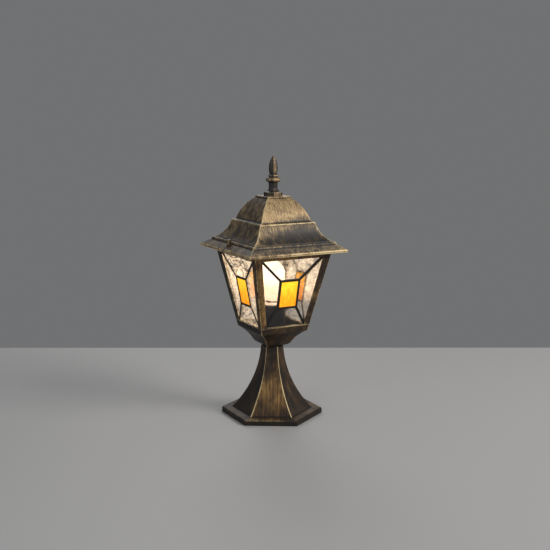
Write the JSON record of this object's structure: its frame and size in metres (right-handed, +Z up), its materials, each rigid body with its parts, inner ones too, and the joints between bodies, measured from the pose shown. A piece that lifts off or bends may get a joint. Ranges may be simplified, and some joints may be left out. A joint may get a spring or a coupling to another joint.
{
  "type": "garden post lamp",
  "caption": "Pedestal lantern for a garden path: flared hexagonal foot, tapered square cage glazed with leaded clear and amber glass, and a domed roof with a finial that lifts off for the bulb.",
  "frame": {"origin": "centre of the plinth's underside, on the ground", "axes": "+Z up along the lamp's axis; the lantern's sides face X and Y, and -Y is the side called front"},
  "size_m": [0.1738, 0.1738, 0.42],
  "materials": {
    "patina_metal": "black-brown coat with brushed antique gold",
    "steel": "zinc plated",
    "brass": "plain",
    "screw_metal": "darkened",
    "rubber": "matt",
    "white_plastic": "moulded",
    "live_insulation": "extruded",
    "neutral_insulation": "extruded",
    "earth_insulation": "extruded",
    "holder_plastic": "moulded",
    "ceramic": "unglazed ceramic",
    "bulb_glass": "opal, lit",
    "came_metal": "black",
    "clear_glass": "hammered",
    "amber_glass": "rippled"
  },
  "bodies": {
    "lamp": {"pedestal": "patina_metal", "mounting_bar": "steel", "set_screws": "steel", "cable_grommet": "rubber", "terminal_block": "white_plastic", "terminal_screws": "brass", "lead_live": "live_insulation", "lead_neutral": "neutral_insulation", "lead_earth": "earth_insulation", "earth_tag": "brass", "central_tube": "steel", "lower_washer": "steel", "lower_nut": "steel", "neck_gasket": "rubber", "lantern_cage": "patina_metal", "upper_washer": "steel", "upper_nut": "steel", "holder_cap": "holder_plastic", "holder_insert": "ceramic", "holder_sleeve": "holder_plastic", "thread_shell": "brass", "centre_contact": "brass", "bulb": "bulb_glass", "front_came": "came_metal", "front_amber": "amber_glass", "front_clear_bottom": "clear_glass", "front_clear_top": "clear_glass", "front_clear_right": "clear_glass", "front_clear_left": "clear_glass", "right_came": "came_metal", "right_amber": "amber_glass", "right_clear_bottom": "clear_glass", "right_clear_top": "clear_glass", "right_clear_right": "clear_glass", "right_clear_left": "clear_glass", "back_came": "came_metal", "back_amber": "amber_glass", "back_clear_bottom": "clear_glass", "back_clear_top": "clear_glass", "back_clear_right": "clear_glass", "back_clear_left": "clear_glass", "left_came": "came_metal", "left_amber": "amber_glass", "left_clear_bottom": "clear_glass", "left_clear_top": "clear_glass", "left_clear_right": "clear_glass", "left_clear_left": "clear_glass"},
    "roof_top": {"roof": "patina_metal", "finial": "patina_metal", "finial_stud": "steel", "finial_washer": "steel", "finial_nut": "steel", "roof_screws": "screw_metal", "screw_washers": "screw_metal"}
  },
  "joints": [
    {"name": "roof_lift", "type": "slide", "parent": "lamp", "child": "roof_top", "axis": [0, 0, 1], "range_m": [0, 0.12]}
  ]
}
